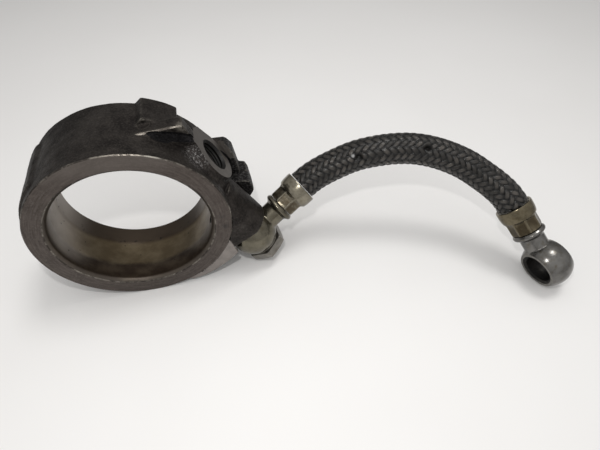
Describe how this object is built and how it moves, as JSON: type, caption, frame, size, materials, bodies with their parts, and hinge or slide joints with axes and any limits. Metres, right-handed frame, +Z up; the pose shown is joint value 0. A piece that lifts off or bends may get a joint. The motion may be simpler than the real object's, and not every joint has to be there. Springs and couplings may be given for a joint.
{
  "type": "oil feed ring with banjo hose",
  "caption": "Cast ring with a side arm and a threaded port, with a braided oil hose held on it by a banjo bolt and a ball shaped banjo at the hose's free end.",
  "frame": {"origin": "on the table, under the middle of the rigid pieces (everything but the free hose and what hangs on it)", "axes": "+Z up, +Y along the ring's bore from its near face into the bore, +X from the ring towards the hose"},
  "size_m": [0.2137, 0.0721, 0.0759],
  "materials": {
    "casting": "dark cast iron with machined near face, bore, spot face and port land",
    "bolt": "dull plated steel",
    "washer": "dull bonded washer",
    "fitting": "satin steel with a faint yellow cast",
    "braid": "black textile braid"
  },
  "bodies": {
    "root": {"ring_casting": "casting", "banjo_bolt": "bolt", "inner_sealing_washer": "washer", "outer_sealing_washer": "washer", "ring_end_banjo": "fitting", "ring_end_ferrule": "fitting", "braided_hose": "braid", "free_end_ferrule": "fitting", "free_end_banjo": "fitting"}
  },
  "joints": []
}
